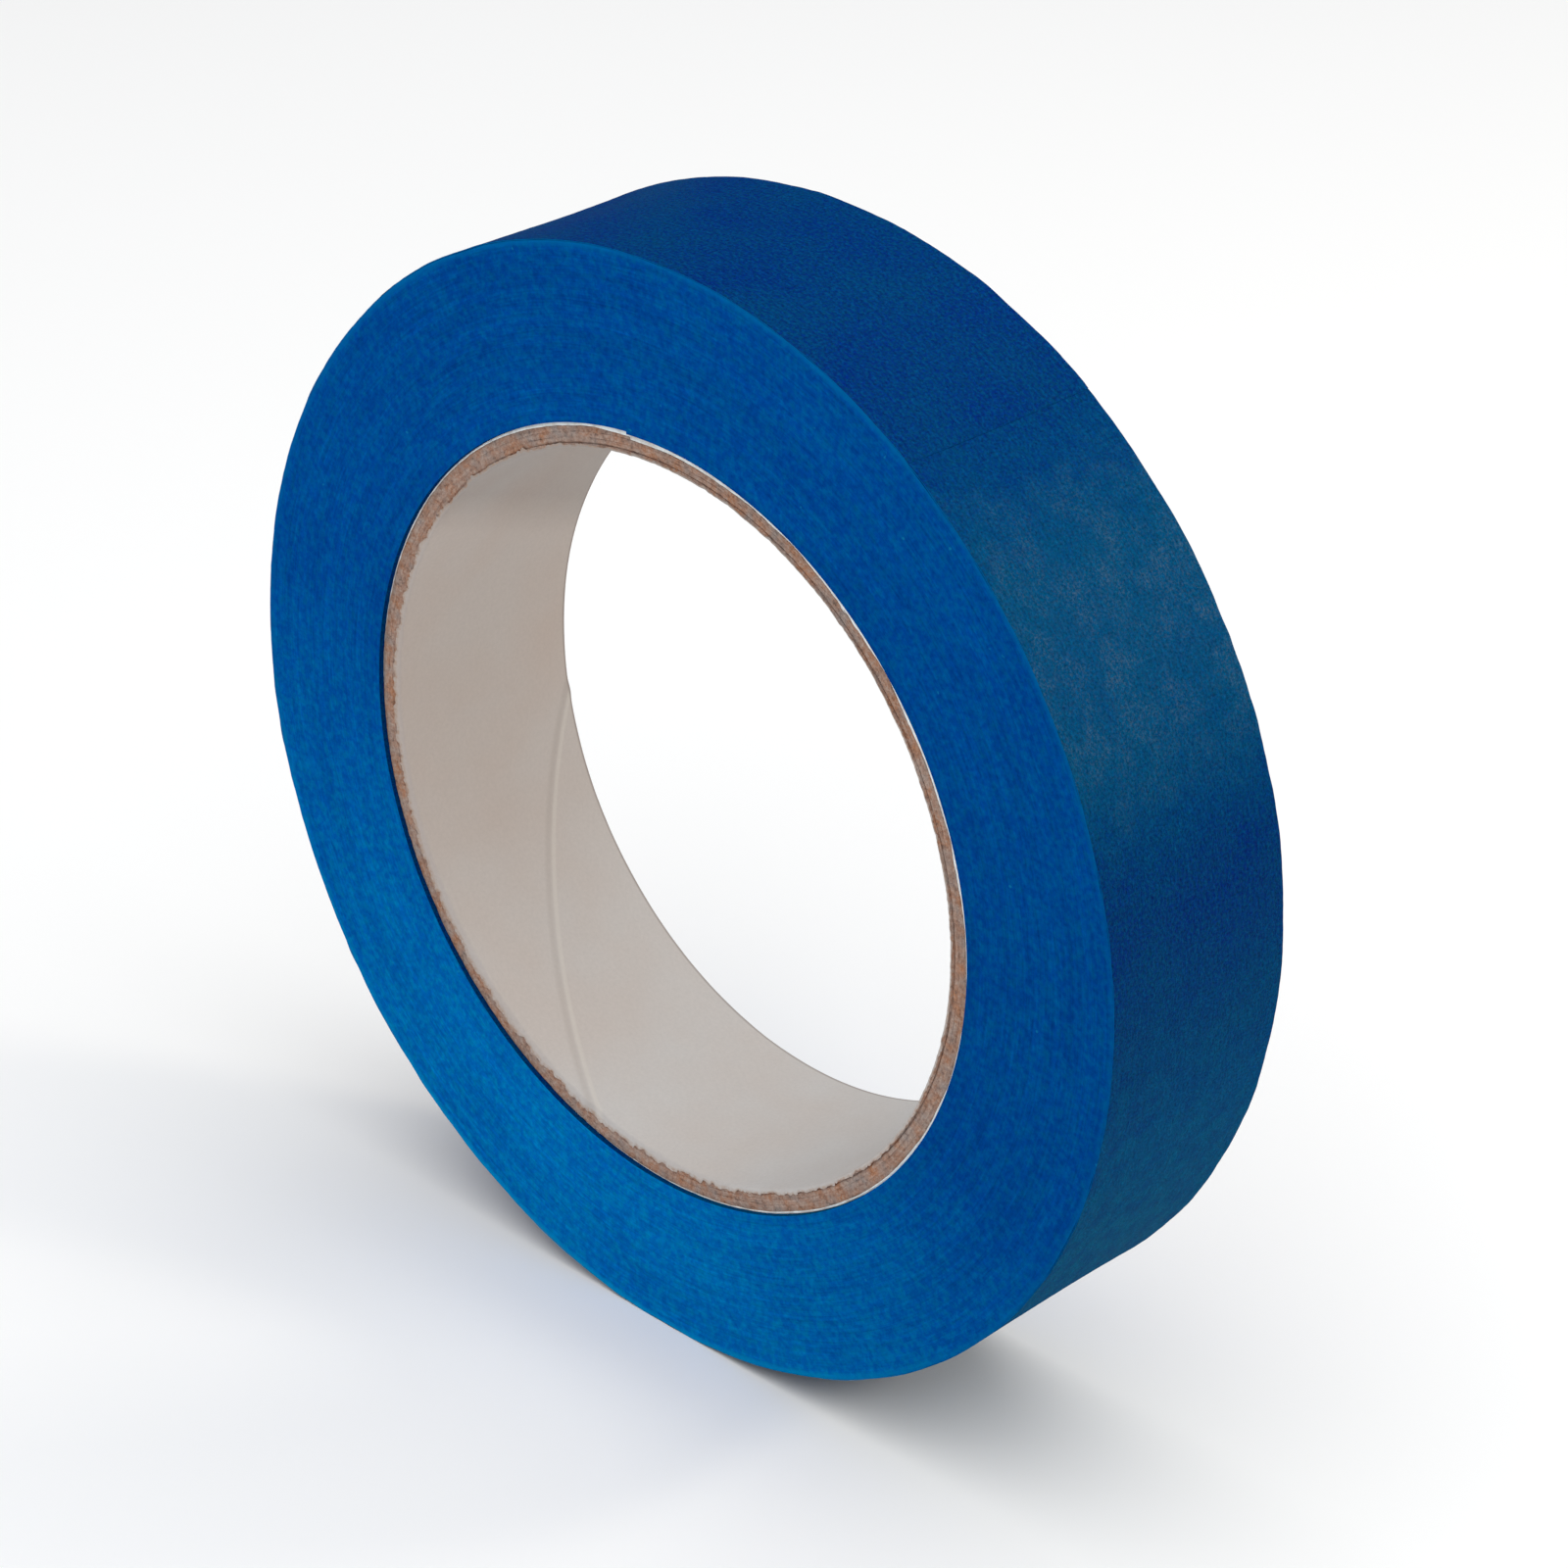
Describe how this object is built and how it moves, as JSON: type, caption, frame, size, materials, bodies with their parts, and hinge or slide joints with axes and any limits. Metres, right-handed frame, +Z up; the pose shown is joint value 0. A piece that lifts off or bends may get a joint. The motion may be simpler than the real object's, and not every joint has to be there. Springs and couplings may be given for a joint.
{
  "type": "masking tape roll",
  "caption": "Roll of blue crepe-paper masking tape on a lined cardboard core, standing on its rim, with a free end that peels up.",
  "frame": {"origin": "centre of the hole through the core, half-way between the two faces of the tape", "axes": "+Y along the roll's axis, away from the front face; +Z up as it stands on its rim; +X to the right seen from the front"},
  "size_m": [0.1179, 0.0238, 0.1179],
  "materials": {
    "liner": "smooth pale grey-beige paper, matt",
    "board": "raw brown board, cut edge, matt",
    "wrap": "white paper, matt",
    "tape": "blue crepe paper, faint sheen"
  },
  "bodies": {
    "roll": {"core_liner": "liner", "core_inner_ply": "board", "core_middle_ply": "board", "core_outer_ply": "board", "core_wrap": "wrap", "tape_first_turn": "tape", "tape_pack": "tape", "tape_last_turn": "tape"},
    "tail_1": {"tape_tail_1": "tape"},
    "tail_2": {"tape_tail_2": "tape"},
    "tail_3": {"tape_tail_3": "tape"},
    "tail_4": {"tape_tail_4": "tape"},
    "tail_5": {"tape_tail_5": "tape"},
    "tail_6": {"tape_tail_6": "tape"},
    "tail_7": {"tape_tail_7": "tape"},
    "tail_8": {"tape_tail_8": "tape"},
    "tail_9": {"tape_tail_9": "tape"},
    "tail_10": {"tape_tail_10": "tape"},
    "tail_11": {"tape_tail_11": "tape"},
    "tail_12": {"tape_tail_12": "tape"}
  },
  "joints": [
    {"name": "peel", "type": "hinge", "parent": "roll", "child": "tail_1", "pos_m": [-0.03461, 0, 0.04778], "axis": [0, -1, 0], "range_deg": [0, 20]},
    {"name": "peel_2", "type": "hinge", "parent": "tail_1", "child": "tail_2", "pos_m": [-0.02958, 0, 0.05105], "axis": [0, -1, 0], "range_deg": [0, 18]},
    {"name": "peel_3", "type": "hinge", "parent": "tail_2", "child": "tail_3", "pos_m": [-0.02425, 0, 0.05379], "axis": [0, -1, 0], "range_deg": [0, 15]},
    {"name": "peel_4", "type": "hinge", "parent": "tail_3", "child": "tail_4", "pos_m": [-0.01866, 0, 0.05597], "axis": [0, -1, 0], "range_deg": [0, 12]},
    {"name": "peel_5", "type": "hinge", "parent": "tail_4", "child": "tail_5", "pos_m": [-0.01288, 0, 0.05758], "axis": [0, -1, 0], "range_deg": [0, 9]},
    {"name": "peel_6", "type": "hinge", "parent": "tail_5", "child": "tail_6", "pos_m": [-0.00697, 0, 0.05859], "axis": [0, -1, 0], "range_deg": [0, 7]},
    {"name": "peel_7", "type": "hinge", "parent": "tail_6", "child": "tail_7", "pos_m": [-0.00099, 0, 0.05899], "axis": [0, -1, 0], "range_deg": [0, 6]},
    {"name": "peel_8", "type": "hinge", "parent": "tail_7", "child": "tail_8", "pos_m": [0.00501, 0, 0.05879], "axis": [0, -1, 0], "range_deg": [0, 5.4]},
    {"name": "peel_9", "type": "hinge", "parent": "tail_8", "child": "tail_9", "pos_m": [0.01095, 0, 0.05798], "axis": [0, -1, 0], "range_deg": [0, 5]},
    {"name": "peel_10", "type": "hinge", "parent": "tail_9", "child": "tail_10", "pos_m": [0.01678, 0, 0.05656], "axis": [0, -1, 0], "range_deg": [0, 4.8]},
    {"name": "peel_11", "type": "hinge", "parent": "tail_10", "child": "tail_11", "pos_m": [0.02243, 0, 0.05457], "axis": [0, -1, 0], "range_deg": [0, 4.8]},
    {"name": "peel_12", "type": "hinge", "parent": "tail_11", "child": "tail_12", "pos_m": [0.02786, 0, 0.05201], "axis": [0, -1, 0], "range_deg": [0, 4.8]}
  ],
  "couplings": [
    {"joint": "peel_2", "follows": "peel", "ratio": 0.9},
    {"joint": "peel_3", "follows": "peel", "ratio": 0.75},
    {"joint": "peel_4", "follows": "peel", "ratio": 0.6},
    {"joint": "peel_5", "follows": "peel", "ratio": 0.45},
    {"joint": "peel_6", "follows": "peel", "ratio": 0.35},
    {"joint": "peel_7", "follows": "peel", "ratio": 0.3},
    {"joint": "peel_8", "follows": "peel", "ratio": 0.27},
    {"joint": "peel_9", "follows": "peel", "ratio": 0.25},
    {"joint": "peel_10", "follows": "peel", "ratio": 0.24},
    {"joint": "peel_11", "follows": "peel", "ratio": 0.24},
    {"joint": "peel_12", "follows": "peel", "ratio": 0.24}
  ]
}
